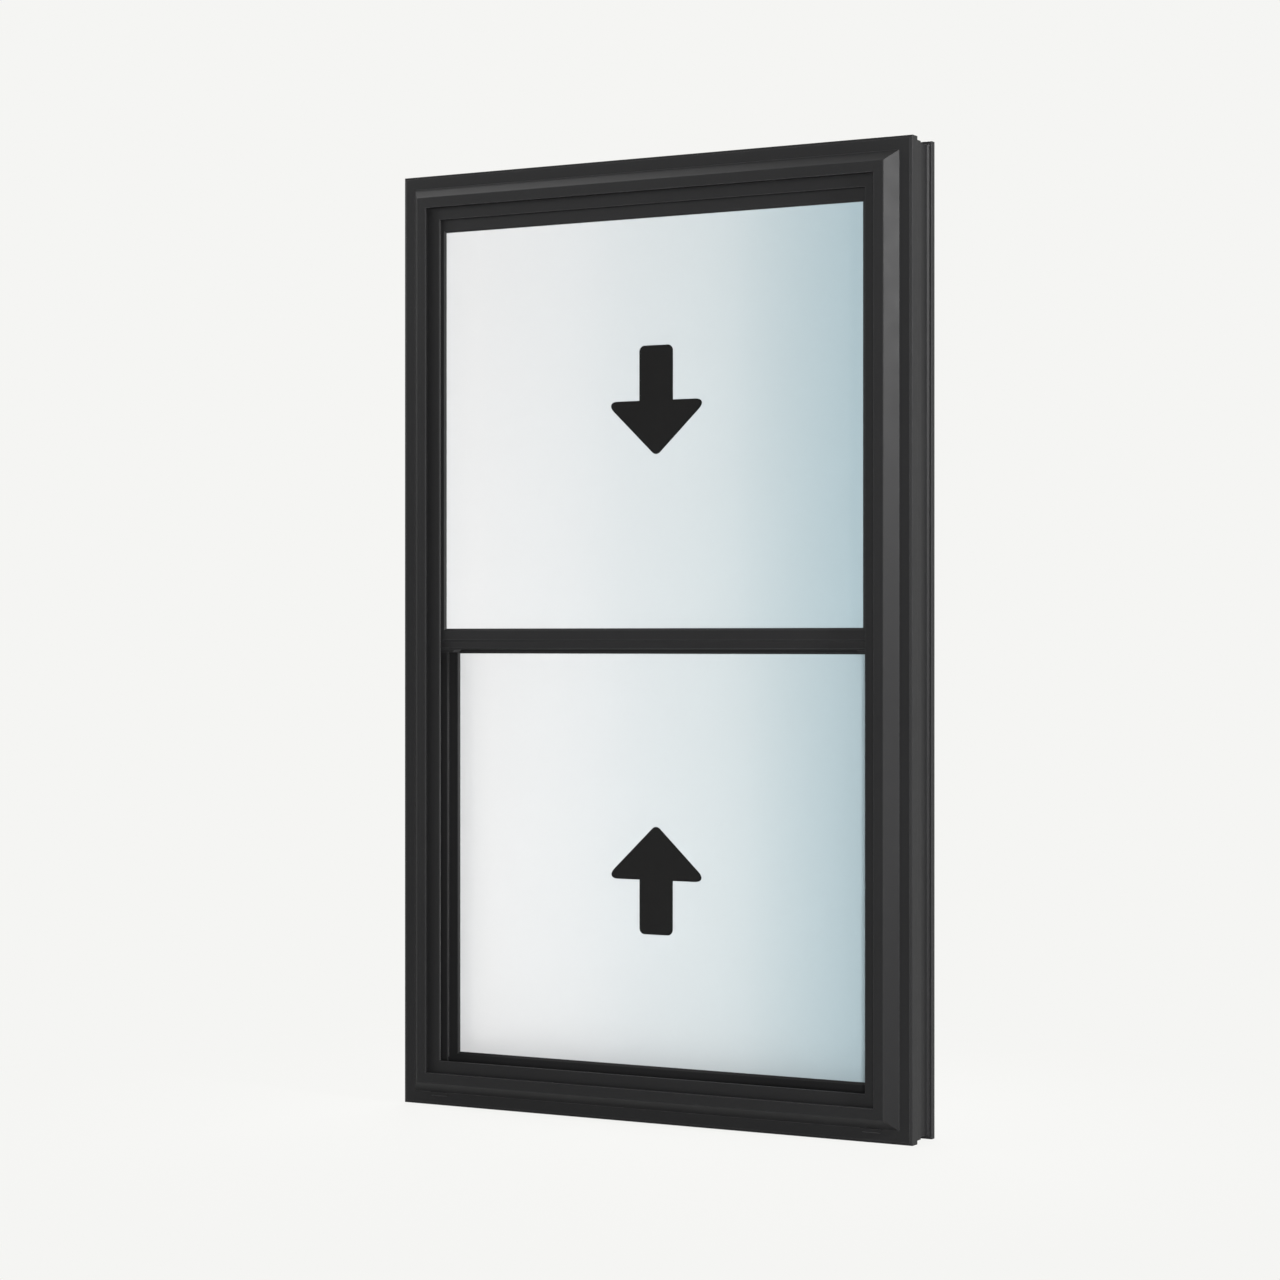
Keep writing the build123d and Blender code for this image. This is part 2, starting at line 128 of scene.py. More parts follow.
# Rim, flat and recess of a screw's head: inset as a share of its radius, rise as a share of its height
SCREW_SIDES = 20
SCREW_STEPS = ((0.35, 0.3), (0.2, 0.0), (0.05, -1.0))

ARROW_CORNER_SEGMENTS = 8
MERGE_DISTANCE = 1e-6
FLOOR_HALF = 20.0

# Lamps that light all, and lamps that light the bars alone
PLAIN_LAMPS = ("front", "back")
TRIM_LAMPS = ("key", "key_low", "crest", "edge", "top", "back_trim")


# Settings


def colour(name, text, default):
    """A colour setting, in linear light."""
    return FloatVectorProperty(
        name=name, description=text, subtype="COLOR", size=3, min=0, max=1, default=default,
    )


def length(name, text, default):
    """A length setting, in metres."""
    return FloatProperty(
        name=name, description=text, unit="LENGTH", subtype="DISTANCE", precision=5, default=default,
    )


def share(name, text, default):
    """A setting from nought to one."""
    return FloatProperty(name=name, description=text, subtype="FACTOR", min=0, max=1, default=default)


def place(name, text, default):
    """A point or a size, in metres: across, deep and up, or across and up alone."""
    return FloatVectorProperty(
        name=name, description=text, size=len(default), unit="LENGTH", default=default,
    )


def power(name, text, default):
    """Power of a lamp, in watts."""
    return FloatProperty(name=name, description=text, unit="POWER", min=0, default=default)


class WindowVinyl(bpy.types.PropertyGroup):
    """Satin vinyl of the frame and the sashes."""

    tone: colour("Colour", "Charcoal of the extrusions", (0.0118, 0.0118, 0.0122))
    mottle: share("Mottle", "How far the colour wanders from place to place", 0.05)
    roughness: share("Roughness", "Middle roughness of the skin", 0.38)
    level: share("Specular", "Strength of the skin's own gloss", 0.36)
    index: FloatProperty(name="Index", description="Index of refraction of the skin", min=1, default=1.2)
    grain: length("Grain", "Height of the fine grain", 0.00002)
    draw: length("Draw lines", "Height of the lines that the die leaves along a bar", 0.000012)
    # Painted edge highlight: a paler colour along the bars' corners, standing in for the light they catch,
    # and how far it reaches
    edge_highlight_tone: colour("Edge colour", "Paler charcoal along the corners of the bars", (0.042, 0.042, 0.043))
    edge_highlight_reach: length("Edge reach", "How far the paler colour reaches from a corner", 0.0012)


class WindowGlass(bpy.types.PropertyGroup):
    """Glass with a painted reflection, pale at the left and blue grey at the right, with its foam spacer
    bars.
    """

    # Colours of the painted reflection, standing in for the pale backdrop mirrored in the panes
    pale: colour("Left", "Tint at the left edge", (0.730, 0.737, 0.745))
    middle: colour("Middle", "Tint near the middle", (0.650, 0.680, 0.696))
    cool: colour("Cool", "Tint between the middle and the right edge", (0.528, 0.590, 0.613))
    deep: colour("Right", "Tint at the right edge", (0.365, 0.461, 0.501))
    # Painted reflection: how far the pale colour layer covers each pane and hides what is behind
    reflection_veil: share("Coat", "How closely the pale coat covers each pane", 0.92)
    roughness: share("Roughness", "Roughness of the sheet", 0.03)
    level: share("Specular", "Strength of the sheet's own gloss", 0.4)
    wave: length("Wave", "Height of the roller wave in the sheet", 0.00004)
    foam_tone: colour("Spacer", "Foam of the spacer bars", (0.014, 0.014, 0.015))


class WindowArrows(bpy.types.PropertyGroup):
    """Black film arrows that show which way each sash slides."""

    tone: colour("Colour", "Black of the film", (0.0085, 0.0085, 0.0085))
    long: length("Length", "From the shaft's end to the sharp tip", 0.1756)
    wide: length("Width", "Across the head's sharp corners", 0.187)
    shaft: length("Shaft", "Across the shaft", 0.0605)
    head: length("Head", "From the head's base to the sharp tip", 0.0888)
    round: length("Corner", "Radius of the outer corners", 0.0095)
    thick: length("Thickness", "Thickness of the film", 0.0002)
    upper_place: place("Upper place", "Middle of the upper arrow, across and up", (0.0163, 1.1394))
    lower_place: place("Lower place", "Middle of the lower arrow, across and up", (-0.0066, 0.3810))


class WindowSeals(bpy.types.PropertyGroup):
    """Pile strips in the jambs and bulb seals at head and sill."""

    pile_tone: colour("Pile", "Colour of the pile", (0.018, 0.018, 0.018))
    rubber_tone: colour("Rubber", "Colour of the bulb seals", (0.016, 0.016, 0.016))
    backing: length("Backing", "Thickness of the pile's woven back", 0.0008)
    tuft_pitch: length("Tuft pitch", "From tuft to tuft along the strip", 0.003)
    tuft_rows: IntProperty(name="Tuft rows", description="Rows of tufts across the strip", min=1, default=3)
    foot: length("Foot", "Height of a bulb seal's flat foot", 0.0012)
    segments: IntProperty(name="Bulb segments", description="Sides round a bulb seal", min=8, default=20)


class WindowHardware(bpy.types.PropertyGroup):
    """Satin black locks and keepers with their screws, and the balance shoes."""

    tone: colour("Colour", "Paint of the locks", (0.020, 0.020, 0.021))
    shoe_tone: colour("Shoe colour", "Moulding of the balance shoes", (0.055, 0.055, 0.057))
    screw_tone: colour("Screw colour", "Blackened steel of the screws", (0.035, 0.035, 0.036))
    screw_radius: length("Screw radius", "Radius of a screw's head", 0.0026)
    screw_high: length("Screw height", "How far a screw's head stands out", 0.0006)
    screw_from_end: length("Screw inset", "From a lock's end to its screw", 0.0085)


class WindowStage(bpy.types.PropertyGroup):
    """Floor, light and camera. Each lamp has its power, place, aim and size."""

    backdrop: colour("Backdrop", "Pale ground that the window stands before", (0.913, 0.913, 0.896))
    shadow: share("Shadow", "How strongly the floor shows the window's shadow", 0.12)
    shadow_reach: length("Shadow reach", "How far from the window the floor shows shade", 1.3)
    sky: FloatProperty(name="Sky", description="Strength of the even light all round", min=0, default=0.06)

    front: power("Front", "Broad lamp behind the camera", 720)
    front_place: place("Front place", "Where the front lamp hangs", (4.36, -7.87, 1.0))
    front_aim: place("Front aim", "Where the front lamp points", (0.0, 0.0, 0.8))
    front_size: place("Front size", "Width and height of the front lamp", (1.4, 1.4))

    back: power("Back", "Broad lamp on the room side", 90)
    back_place: place("Back place", "Where the back lamp hangs", (-0.5, 3.3, 2.9))
    back_aim: place("Back aim", "Where the back lamp points", (0.0, 0.0, 0.8))
    back_size: place("Back size", "Width and height of the back lamp", (1.5, 1.2))

    key: power("Key", "Tall narrow lamp at the right, which the right bevel mirrors", 122)
    key_place: place("Key place", "Where the key lamp hangs", (2.98, -0.62, 1.90))
    key_aim: place("Key aim", "Where the key lamp points", (0.40, 0.0, 0.95))
    key_size: place("Key size", "Width and height of the key lamp", (0.3, 1.4))

    key_low: power("Low key", "Lamp below the key, for the foot of the right bevel", 17)
    key_low_place: place("Low key place", "Where the low key lamp hangs", (2.98, -0.62, 0.45))
    key_low_aim: place("Low key aim", "Where the low key lamp points", (0.40, 0.0, 0.6))
    key_low_size: place("Low key size", "Width and height of the low key lamp", (0.3, 1.1))

    crest: power("Crest", "Lamp at the upper left, which the upper faces mirror", 9)
    crest_place: place("Crest place", "Where the crest lamp hangs", (-1.85, -3.32, 2.35))
    crest_aim: place("Crest aim", "Where the crest lamp points", (0.0, 0.0, 1.0))
    crest_size: place("Crest size", "Width and height of the crest lamp", (1.2, 0.6))

    edge: power("Edge", "Lamp at the far left, which the rounded left edges mirror", 40)
    edge_place: place("Edge place", "Where the edge lamp hangs", (-2.90, -1.55, 1.90))
    edge_aim: place("Edge aim", "Where the edge lamp points", (-0.4, 0.0, 1.0))
    edge_size: place("Edge size", "Width and height of the edge lamp", (0.8, 1.2))

    top: power("Top", "Broad lamp overhead, which the rounded upper edges mirror", 75)
    top_place: place("Top place", "Where the top lamp hangs", (-2.3, -0.1, 4.6))
    top_aim: place("Top aim", "Where the top lamp points", (0.0, 0.0, 0.0))
    top_size: place("Top size", "Width and height of the top lamp", (2.0, 2.0))

    back_trim: power("Back trim", "Lamp on the room side for the bars alone", 110)
    back_trim_place: place("Back trim place", "Where the back trim lamp hangs", (-1.9, 3.0, 1.5))
    back_trim_aim: place("Back trim aim", "Where the back trim lamp points", (0.0, 0.0, 0.8))
    back_trim_size: place("Back trim size", "Width and height of the back trim lamp", (1.2, 1.2))

    camera_place: place("Camera place", "Where the camera stands", (2.3710, -4.2819, 0.7624))
    camera_turn: FloatProperty(
        name="Camera turn", description="Turn of the level camera to the left", subtype="ANGLE",
        default=math.radians(29.16),
    )
    lens: FloatProperty(
        name="Lens", description="Focal length on a 36 mm sensor", unit="CAMERA", default=87.07,
    )


class WindowLooks(bpy.types.PropertyGroup):
    """All settings of the window's looks."""

    vinyl: PointerProperty(type=WindowVinyl)
    glass: PointerProperty(type=WindowGlass)
    arrows: PointerProperty(type=WindowArrows)
    seals: PointerProperty(type=WindowSeals)
    hardware: PointerProperty(type=WindowHardware)
    stage: PointerProperty(type=WindowStage)


# Node materials


def add_node(tree, kind, settings=None, inputs=None):
    """Adds a node, sets its options, and sets or links its inputs."""
    node = tree.nodes.new(kind)
    for key, value in (settings or {}).items():
        setattr(node, key, value)
    for key, value in (inputs or {}).items():
        if isinstance(value, bpy.types.NodeSocket):
            tree.links.new(value, node.inputs[key])
        else:
            node.inputs[key].default_value = value
    return node


def maths(tree, operation, first, second=None):
    """Result of a Math node on one or two sockets."""
    inputs = {0: first} if second is None else {0: first, 1: second}
    return add_node(tree, "ShaderNodeMath", {"operation": operation}, inputs).outputs[0]


def new_finish(name, sockets):
    """A material with one Principled shader, whose plain sockets are given by name."""
    material = bpy.data.materials.new(name)
    material.use_nodes = True
    shader = material.node_tree.nodes["Principled BSDF"]
    for key, value in sockets.items():
        shader.inputs[key].default_value = value
    return material, material.node_tree, shader


def noise(tree, cells, detail=3.0):
    """Noise on Object coordinates, with so many cells to a metre, all ways or along X, Y and Z."""
    scale = cells if isinstance(cells, tuple) else (cells, cells, cells)
    point = add_node(tree, "ShaderNodeTexCoord").outputs["Object"]
    spread = add_node(tree, "ShaderNodeMapping", inputs={"Vector": point, "Scale": scale}).outputs["Vector"]
    values = {"Vector": spread, "Scale": 1.0, "Detail": detail, "Roughness": NOISE_ROUGHNESS}
    return add_node(tree, "ShaderNodeTexNoise", inputs=values).outputs["Fac"]


def uneven(tree, shader, value, middle, spread):
    """Roughness that wanders by a share to both sides of its middle."""
    limits = {
        "Value": value,
        "From Min": NOISE_LOW,
        "From Max": NOISE_HIGH,
        "To Min": (1 - spread) * middle,
        "To Max": (1 + spread) * middle,
    }
    rough = add_node(tree, "ShaderNodeMapRange", inputs=limits).outputs["Result"]
    tree.links.new(rough, shader.inputs["Roughness"])


def mottled(tree, shader, tone, value, spread):
    """Base colour that wanders by a share to both sides of its tone."""
    ramp = add_node(tree, "ShaderNodeValToRGB", inputs={"Fac": value})
    factors = (1 - spread, 1 + spread)
    for stop, factor, position in zip(ramp.color_ramp.elements, factors, (NOISE_LOW, NOISE_HIGH)):
        stop.position = position
        stop.color = (*(factor * part for part in tone), 1)
    tree.links.new(ramp.outputs["Color"], shader.inputs["Base Color"])


def bumped(tree, shader, *layers):
    """Stacks bumps, each a height from a noise, on a shader."""
    normal = None
    for value, height in layers:
        inputs = {"Height": value, "Distance": height, "Strength": 1.0}
        if normal is not None:
            inputs["Normal"] = normal
        normal = add_node(tree, "ShaderNodeBump", inputs=inputs).outputs["Normal"]
    tree.links.new(normal, shader.inputs["Normal"])


def grained(name, tone, roughness, level, cells, height, spread=0.1):
    """A moulded or painted skin: mottled colour, uneven roughness and a fine grain."""
    material, tree, shader = new_finish(name, {"Specular IOR Level": level})
    mottled(tree, shader, tone, noise(tree, SKIN_MOTTLE_CELLS), spread)
    uneven(tree, shader, noise(tree, SKIN_PATCH_CELLS), roughness, SKIN_UNEVEN)
    bumped(tree, shader, (noise(tree, cells), height))
    return material


def painted_edge_highlight(tree, shader, tone, reach, along):
    """Painted highlight: paler colour by the corners that run along X or Z, standing in for the light that
    rounded edges catch.
    """
    soft = add_node(tree, "ShaderNodeBevel", {"samples": EDGE_SAMPLES}, {"Radius": reach}).outputs["Normal"]
    face = add_node(tree, "ShaderNodeNewGeometry").outputs["True Normal"]
    product = add_node(tree, "ShaderNodeVectorMath", {"operation": "DOT_PRODUCT"}, {0: soft, 1: face})
    limits = {"Value": product.outputs["Value"], "From Min": EDGE_HIGHLIGHT_START, "From Max": EDGE_HIGHLIGHT_FULL}
    near = add_node(tree, "ShaderNodeMapRange", inputs=limits).outputs["Result"]
    parts = add_node(tree, "ShaderNodeSeparateXYZ", inputs={"Vector": soft})
    lean = maths(tree, "ABSOLUTE", parts.outputs[along])
    limits = {"Value": lean, "From Min": MITRE_LEAN, "From Max": STRAIGHT_LEAN}
    straight = add_node(tree, "ShaderNodeMapRange", inputs=limits).outputs["Result"]
    amount = maths(tree, "MULTIPLY", near, straight)
    base = shader.inputs["Base Color"]
    colours = {MIX_FACTOR: amount, MIX_FIRST: base.links[0].from_socket, MIX_SECOND: (*tone, 1)}
    mix = add_node(tree, "ShaderNodeMix", {"data_type": "RGBA"}, colours)
    tree.links.new(mix.outputs[MIX_RESULT], base)


def vinyl(name, settings, along):
    """Satin vinyl with the die's draw lines running along X or Z."""
    material, tree, shader = new_finish(name, {"Specular IOR Level": settings.level, "IOR": settings.index})
    mottled(tree, shader, settings.tone, noise(tree, VINYL_MOTTLE_CELLS), settings.mottle)
    # Painted highlight along the corners of the bars
    painted_edge_highlight(tree, shader, settings.edge_highlight_tone, settings.edge_highlight_reach, along)
    uneven(tree, shader, noise(tree, VINYL_PATCH_CELLS), settings.roughness, VINYL_UNEVEN)
    lines = tuple(DRAW_CELLS_ALONG if axis == along else DRAW_CELLS_ACROSS for axis in "XYZ")
    draw = noise(tree, lines, 2.0)
    grain = noise(tree, VINYL_GRAIN_CELLS)
    bumped(tree, shader, (draw, settings.draw), (grain, settings.grain))
    return material


def coated_glass(settings):
    """Glass with a painted reflection: a pale, nearly opaque colour layer that stands in for the mirrored
    pale backdrop and hides most of what is behind, painted bluer grey from left to right.
    """
    sockets = {
        "Roughness": settings.roughness,
        "Specular IOR Level": settings.level,
        "Alpha": settings.reflection_veil,
    }
    material, tree, shader = new_finish("coated_glass", sockets)
    point = add_node(tree, "ShaderNodeTexCoord").outputs["Object"]
    parts = add_node(tree, "ShaderNodeSeparateXYZ", inputs={"Vector": point})
    limits = {"Value": parts.outputs["X"], "From Min": -PANE_HALF, "From Max": PANE_HALF}
    across = add_node(tree, "ShaderNodeMapRange", inputs=limits).outputs["Result"]
    # Painted reflection, paler at the left and bluer grey at the right
    ramp = add_node(tree, "ShaderNodeValToRGB", inputs={"Fac": across})
    ramp.color_ramp.interpolation = "CARDINAL"
    for position in REFLECTION_STOPS[1:-1]:
        ramp.color_ramp.elements.new(position)
    reflection_colours = (settings.pale, settings.middle, settings.cool, settings.deep)
    for stop, position, tint in zip(ramp.color_ramp.elements, REFLECTION_STOPS, reflection_colours):
        stop.position = position
        stop.color = (*tint, 1)
    tree.links.new(ramp.outputs["Color"], shader.inputs["Base Color"])
    bumped(tree, shader, (noise(tree, GLASS_WAVE_CELLS, 1.0), settings.wave))
    return material


def pile_fabric(tone):
    """Dull pile with a soft sheen and the grain of its fibres."""
    sockets = {"Roughness": 0.95, "Specular IOR Level": 0.1, "Sheen Weight": 0.25}
    material, tree, shader = new_finish("pile", sockets)
    mottled(tree, shader, tone, noise(tree, PILE_MOTTLE_CELLS), 0.35)
    bumped(tree, shader, (noise(tree, PILE_FIBRE_CELLS), 0.0001))
    return material


def nodes_with(words):
    """Names of the solid parts that have any of some words in them."""
    return [name for name in NODES if any(word in name for word in words)]


def give(names, material):
    """Puts a finish on solid parts."""
    for name in names:
        mesh = NODES[name].data
        mesh.materials.clear()
        mesh.materials.append(material)


# Meshes


def make_piece(name, mesh, material, body, stands_for=()):
    """Turns a bmesh into a piece that rides on a body."""
    data = bpy.data.meshes.new(name)
    bmesh.ops.recalc_face_normals(mesh, faces=mesh.faces)
    mesh.to_mesh(data)
    mesh.free()
    data.materials.append(material)
    piece = bpy.data.objects.new(name, data)
    bpy.context.scene.collection.objects.link(piece)
    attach(piece, body)
    if stands_for:
        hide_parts(*stands_for)


def corners_of(made):
    """The vertices among what an operator made."""
    return [item for item in made if isinstance(item, bmesh.types.BMVert)]


def pull_faces(mesh, faces, way):
    """Extrudes faces along a vector."""
    made = bmesh.ops.extrude_face_region(mesh, geom=faces)
    bmesh.ops.translate(mesh, verts=corners_of(made["geom"]), vec=way)


def round_corners(mesh, corners, offset):
    """Rounds corners of a flat outline, from so far along the edges."""
    bmesh.ops.bevel(
        mesh, geom=corners, affect="VERTICES", offset=offset, offset_type="OFFSET",
        segments=ARROW_CORNER_SEGMENTS, profile=0.5, material=-1,
    )


def arrow_mesh(settings, centre, face_y, way):
    """Film arrow on a pane: an outline with rounded corners and a thickness. Way is 1 up and -1 down."""
    mesh = bmesh.new()
    tip = settings.long / 2
    base = tip - settings.head
    half = settings.wide / 2
    shaft = settings.shaft / 2
    outline = (
        (-shaft, -tip), (shaft, -tip), (shaft, base), (half, base), (0, tip), (-half, base), (-shaft, base),
    )
    corners = [mesh.verts.new((centre[0] + x, face_y, centre[1] + way * z)) for x, z in outline]
    mesh.faces.new(corners)
    barb_angle = math.atan2(settings.head, half)
    barbs = [corners[3], corners[5]]
    blunt = [corners[0], corners[1], corners[4]]
    round_corners(mesh, barbs, settings.round / math.tan(barb_angle / 2))
    round_corners(mesh, blunt, settings.round)
    pull_faces(mesh, mesh.faces[:], Vector((0, -settings.thick, 0)))
    return mesh


def bulb_mesh(low, high, foot, segments, up):
    """Bulb seal along X: a round crown on a flat foot, on the rail's edge. Up is 1 or -1."""
    mesh = bmesh.new()
    half = (high.y - low.y) / 2
    crown = high.z - low.z - foot
    made = bmesh.ops.create_circle(mesh, cap_ends=True, segments=segments, radius=1.0)
    bmesh.ops.rotate(mesh, verts=made["verts"], matrix=Matrix.Rotation(math.pi / 2, 3, "Y"))
    bmesh.ops.scale(mesh, verts=made["verts"], vec=(1, half, crown))
    for corner in made["verts"]:
        if corner.co.z < 0:
            corner.co.z = -foot
            corner.co.y = math.copysign(half, corner.co.y)
    bmesh.ops.remove_doubles(mesh, verts=mesh.verts[:], dist=MERGE_DISTANCE)
    if up < 0:
        bmesh.ops.scale(mesh, verts=mesh.verts[:], vec=(1, 1, -1))
    seat = low.z + foot if up > 0 else high.z - foot
    bmesh.ops.translate(mesh, verts=mesh.verts[:], vec=(low.x, (low.y + high.y) / 2, seat))
    pull_faces(mesh, mesh.faces[:], Vector((high.x - low.x, 0, 0)))
    return mesh


def pile_mesh(low, high, settings):
    """Pile strip up a stop: a woven back with rows of tapered tufts that stand out from it."""
    mesh = bmesh.new()
    size = high - low
    back = low.y + settings.backing
    made = bmesh.ops.create_cube(mesh, size=1.0)
    bmesh.ops.scale(mesh, verts=made["verts"], vec=(size.x, settings.backing, size.z))
    middle = (low + high) / 2
    bmesh.ops.translate(mesh, verts=made["verts"], vec=(middle.x, low.y + settings.backing / 2, middle.z))
    count = int(size.z / settings.tuft_pitch)
    pitch = size.z / count
    turn = Matrix.Rotation(-math.pi / 2, 3, "X")
    for row in range(settings.tuft_rows):
        tall = (high.y - back) * (1 - TUFT_STEP * (row % 2))
        tuft = bmesh.ops.create_cone(
            mesh, cap_ends=True, segments=TUFT_SIDES, radius1=TUFT_FOOT * pitch, radius2=TUFT_TIP * pitch,
            depth=tall,
        )["verts"]
        bmesh.ops.rotate(mesh, verts=tuft, matrix=turn)
        across = low.x + (row + 0.5) * size.x / settings.tuft_rows
        bmesh.ops.translate(mesh, verts=tuft, vec=(across, back + tall / 2, low.z + pitch / 2))
        faces = list({face for corner in tuft for face in corner.link_faces})
        bmesh.ops.spin(
            mesh, geom=faces, cent=(0, 0, 0), axis=(0, 0, 1), dvec=(0, 0, pitch), angle=0, steps=count - 1,
            use_duplicate=True,
        )
    return mesh


def screws_mesh(places, settings):
    """Low screw heads with a round recess, all upright, seated at their places."""
    mesh = bmesh.new()
    ring = bmesh.ops.create_circle(
        mesh, cap_ends=True, segments=SCREW_SIDES, radius=settings.screw_radius,
    )["verts"]
    crown = ring[0].link_faces[0]
    pull_faces(mesh, [crown], Vector((0, 0, settings.screw_high)))
    crown = max(mesh.faces, key=lambda face: face.calc_center_median().z)
    for across, up in SCREW_STEPS:
        bmesh.ops.inset_region(
            mesh, faces=[crown], thickness=across * settings.screw_radius, depth=up * settings.screw_high,
        )
    first = mesh.verts[:] + mesh.edges[:] + mesh.faces[:]
    for spot in places[1:]:
        made = bmesh.ops.duplicate(mesh, geom=first)
        bmesh.ops.translate(mesh, verts=corners_of(made["geom"]), vec=spot)
    bmesh.ops.translate(mesh, verts=corners_of(first), vec=places[0])
    return mesh


# Stage


def seen(tree):
    """Socket that is one for rays by which the backdrop is seen, straight, mirrored or through glass."""
    path = add_node(tree, "ShaderNodeLightPath").outputs
    pair = maths(tree, "MAXIMUM", path["Is Camera Ray"], path["Is Glossy Ray"])
    return maths(tree, "MAXIMUM", pair, path["Is Transmission Ray"])


def set_sky(settings):
    """Even light all round, with the pale backdrop wherever it is seen."""
    world = bpy.data.worlds.new("pale_studio")
    world.use_nodes = True
    bpy.context.scene.world = world
    tree = world.node_tree
    tree.nodes.clear()
    white = {"Color": (1, 1, 1, 1), "Strength": settings.sky}
    light = add_node(tree, "ShaderNodeBackground", inputs=white).outputs[0]
    pale = {"Color": (*settings.backdrop, 1), "Strength": 1.0}
    ground = add_node(tree, "ShaderNodeBackground", inputs=pale).outputs[0]
    mix = add_node(tree, "ShaderNodeMixShader", inputs={0: seen(tree), 1: light, 2: ground})
    add_node(tree, "ShaderNodeOutputWorld", inputs={"Surface": mix.outputs[0]})


def near_window(tree, settings):
    """Socket that falls from the shadow's strength at the window to nought at its reach."""
    point = add_node(tree, "ShaderNodeTexCoord").outputs["Object"]
    scale = 1 / settings.shadow_reach
    inputs = {"Vector": point, "Scale": (scale, scale, scale)}
    spread = add_node(tree, "ShaderNodeMapping", inputs=inputs).outputs["Vector"]
    shape = {"gradient_type": "QUADRATIC_SPHERE"}
    fade = add_node(tree, "ShaderNodeTexGradient", shape, {"Vector": spread}).outputs["Fac"]
    limits = {"Value": fade, "To Max": settings.shadow}
    return add_node(tree, "ShaderNodeMapRange", inputs=limits).outputs["Result"]


def lay_floor(settings):
    """A wide floor in the backdrop's colour that keeps a soft shadow by the window."""
    mesh = bmesh.new()
    bmesh.ops.create_grid(mesh, x_segments=2, y_segments=2, size=FLOOR_HALF)
    data = bpy.data.meshes.new("pale_floor")
    mesh.to_mesh(data)
    mesh.free()
    floor = bpy.data.objects.new("pale_floor", data)
    bpy.context.scene.collection.objects.link(floor)
    material = bpy.data.materials.new("pale_floor")
    material.use_nodes = True
    tree = material.node_tree
    tree.nodes.clear()
    pale = (*settings.backdrop, 1)
    cloth = add_node(tree, "ShaderNodeBsdfDiffuse", inputs={"Color": pale}).outputs[0]
    plain = add_node(tree, "ShaderNodeEmission", inputs={"Color": pale, "Strength": 1.0}).outputs[0]
    layers = {0: near_window(tree, settings), 1: plain, 2: cloth}
    shaded = add_node(tree, "ShaderNodeMixShader", inputs=layers).outputs[0]
    mix = add_node(tree, "ShaderNodeMixShader", inputs={0: seen(tree), 1: cloth, 2: shaded})
    add_node(tree, "ShaderNodeOutputMaterial", inputs={"Surface": mix.outputs[0]})
    data.materials.append(material)


def hang_lamp(settings, name):
    """A soft rectangular lamp with the power, place, aim and size that the settings give for its name."""
    data = bpy.data.lights.new(name + "_lamp", "AREA")
    data.energy = getattr(settings, name)
    data.shape = "RECTANGLE"
    data.size, data.size_y = getattr(settings, name + "_size")
    lamp = bpy.data.objects.new(name + "_lamp", data)
    lamp.location = getattr(settings, name + "_place")
    way = Vector(getattr(settings, name + "_aim")) - lamp.location
    lamp.rotation_euler = way.to_track_quat("-Z", "Y").to_euler()
    lamp.visible_camera = False
    bpy.context.scene.collection.objects.link(lamp)
    return lamp


def flag_off(lamps, shaded):
    """Keeps lamps off some pieces, as a photographer's flags do."""
    group = bpy.data.collections.new("flagged_off")
    for piece in shaded:
        group.objects.link(piece)
    for item in group.collection_objects:
        item.light_linking.link_state = "EXCLUDE"
    for lamp in lamps:
        lamp.light_linking.receiver_collection = group


def stand_camera(settings):
    """A level camera at the photograph's place."""
    data = bpy.data.cameras.new("camera")
    data.lens = settings.lens
    camera = bpy.data.objects.new("camera", data)
    camera.location = settings.camera_place
    camera.rotation_euler = (math.pi / 2, 0, settings.camera_turn)
    bpy.context.scene.collection.objects.link(camera)
    bpy.context.scene.camera = camera


# Operators


class DressVinyl(bpy.types.Operator):
    """Give the frame and sash bars their satin vinyl"""

    bl_idname = "hung_window.dress_vinyl"
    bl_label = "Vinyl bars"

    def execute(self, context):
        settings = context.scene.window_looks.vinyl
        give(nodes_with(LEVEL_BARS), vinyl("vinyl_level", settings, "X"))
        give(nodes_with(UPRIGHT_BARS), vinyl("vinyl_upright", settings, "Z"))
        return {"FINISHED"}


class DressGlazing(bpy.types.Operator):
    """Give the panes their coated glass and the spacer bars their foam"""

    bl_idname = "hung_window.dress_glazing"
    bl_label = "Glazing"

    def execute(self, context):
        settings = context.scene.window_looks.glass
        glass = coated_glass(settings)
        foam = grained(
            "spacer_foam", settings.foam_tone, roughness=0.8, level=0.2, cells=900.0, height=0.00006,
        )
        for sash in SASHES:
            give([sash + "_pane_outer", sash + "_pane_inner"], glass)
            give([sash + "_spacer"], foam)
        return {"FINISHED"}


class PlaceArrows(bpy.types.Operator):
    """Put the two film arrows on the outer panes"""

    bl_idname = "hung_window.place_arrows"
    bl_label = "Arrows"

    def execute(self, context):
        settings = context.scene.window_looks.arrows
        film = grained(
            "arrow_film", settings.tone, roughness=0.6, level=0.08, cells=1500.0, height=0.00001,
            spread=0.05,
        )
        for sash, centre, way in (("upper", settings.upper_place, -1), ("lower", settings.lower_place, 1)):
            face_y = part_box(sash + "_pane_outer")[0].y
            mesh = arrow_mesh(settings, centre, face_y, way)
            make_piece(sash + "_arrow", mesh, film, sash + "_sash")
        return {"FINISHED"}


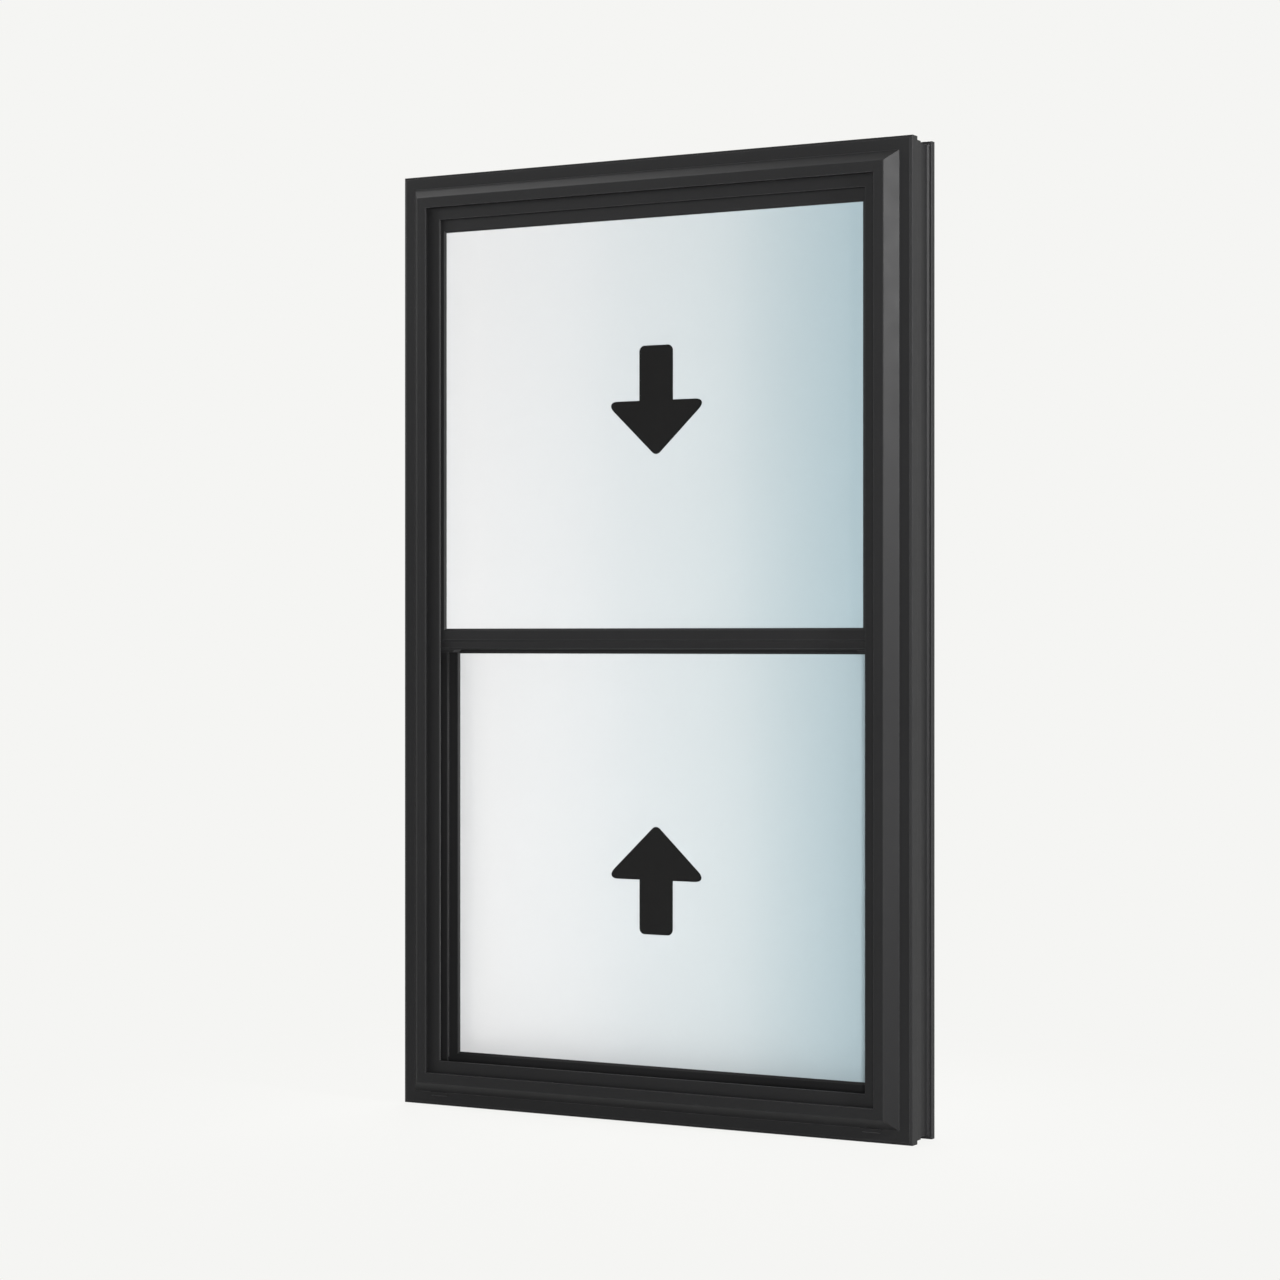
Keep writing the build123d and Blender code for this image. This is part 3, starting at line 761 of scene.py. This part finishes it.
class PlaceSeals(bpy.types.Operator):
    """Put pile strips in the jambs and bulb seals at head and sill"""

    bl_idname = "hung_window.place_seals"
    bl_label = "Seals"

    def execute(self, context):
        settings = context.scene.window_looks.seals
        pile = pile_fabric(settings.pile_tone)
        rubber = grained(
            "bulb_rubber", settings.rubber_tone, roughness=0.55, level=0.3, cells=800.0, height=0.00003,
        )
        for track in ("outer", "parting"):
            for side in SIDES:
                node = track + "_pile_" + side
                low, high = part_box(node)
                make_piece(node + "_brush", pile_mesh(low, high, settings), pile, "frame", [node])
        for node, body, up in (("upper_head_seal", "upper_sash", 1), ("lower_sill_seal", "lower_sash", -1)):
            low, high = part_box(node)
            mesh = bulb_mesh(low, high, settings.foot, settings.segments, up)
            make_piece(node + "_bulb", mesh, rubber, body, [node])
        return {"FINISHED"}


class DressHardware(bpy.types.Operator):
    """Give locks, keepers and balance shoes their finish, and add the screws"""

    bl_idname = "hung_window.dress_hardware"
    bl_label = "Locks and shoes"

    def execute(self, context):
        settings = context.scene.window_looks.hardware
        paint = grained(
            "lock_paint", settings.tone, roughness=0.38, level=0.4, cells=1300.0, height=0.000012,
        )
        nylon = grained(
            "shoe_nylon", settings.shoe_tone, roughness=0.5, level=0.35, cells=500.0, height=0.00003,
        )
        steel = grained(
            "screw_steel", settings.screw_tone, roughness=0.3, level=0.6, cells=1800.0, height=0.00001,
        )
        give(nodes_with(("_lock_", "_keeper_")), paint)
        give(nodes_with(("_shoe_",)), nylon)
        for side in SIDES:
            low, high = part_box("lower_lock_base_" + side)
            deep = (low.y + high.y) / 2
            ends = (low.x + settings.screw_from_end, high.x - settings.screw_from_end)
            mesh = screws_mesh([Vector((x, deep, high.z)) for x in ends], settings)
            make_piece("lower_lock_screws_" + side, mesh, steel, "lower_sash")
        return {"FINISHED"}


class SetStage(bpy.types.Operator):
    """Set the pale floor, the light and the camera"""

    bl_idname = "hung_window.set_stage"
    bl_label = "Stage"

    def execute(self, context):
        settings = context.scene.window_looks.stage
        context.scene.view_settings.view_transform = "Standard"
        set_sky(settings)
        lay_floor(settings)
        for name in PLAIN_LAMPS:
            hang_lamp(settings, name)
        trim = [hang_lamp(settings, name) for name in TRIM_LAMPS]
        glazing = [item for item in bpy.data.objects if "_pane_" in item.name or "_arrow" in item.name]
        flag_off(trim, glazing)
        stand_camera(settings)
        return {"FINISHED"}


class WindowPanel(bpy.types.Panel):
    """Lists the steps and their settings."""

    bl_idname = "VIEW3D_PT_hung_window"
    bl_label = "Double Hung Window"
    bl_space_type = "VIEW_3D"
    bl_region_type = "UI"
    bl_category = "Window"

    def draw(self, context):
        for step in STEPS:
            self.layout.operator(step.bl_idname)
        looks = context.scene.window_looks
        for group in (looks.vinyl, looks.glass, looks.arrows, looks.seals, looks.hardware, looks.stage):
            box = self.layout.box()
            for name in group.__annotations__:
                box.prop(group, name)


GROUPS = (WindowVinyl, WindowGlass, WindowArrows, WindowSeals, WindowHardware, WindowStage, WindowLooks)
STEPS = (DressVinyl, DressGlazing, PlaceArrows, PlaceSeals, DressHardware, SetStage)


def register():
    """Registers the settings, the steps and the panel."""
    for item in (*GROUPS, *STEPS, WindowPanel):
        bpy.utils.register_class(item)
    bpy.types.Scene.window_looks = PointerProperty(type=WindowLooks)


def unregister():
    """Takes the settings, the steps and the panel away again."""
    del bpy.types.Scene.window_looks
    for item in reversed((*GROUPS, *STEPS, WindowPanel)):
        bpy.utils.unregister_class(item)


def main():
    """Dresses the window."""
    register()
    bpy.ops.hung_window.dress_vinyl()
    bpy.ops.hung_window.dress_glazing()
    bpy.ops.hung_window.place_arrows()
    bpy.ops.hung_window.place_seals()
    bpy.ops.hung_window.dress_hardware()
    bpy.ops.hung_window.set_stage()


if __name__ == "__main__":
    main()
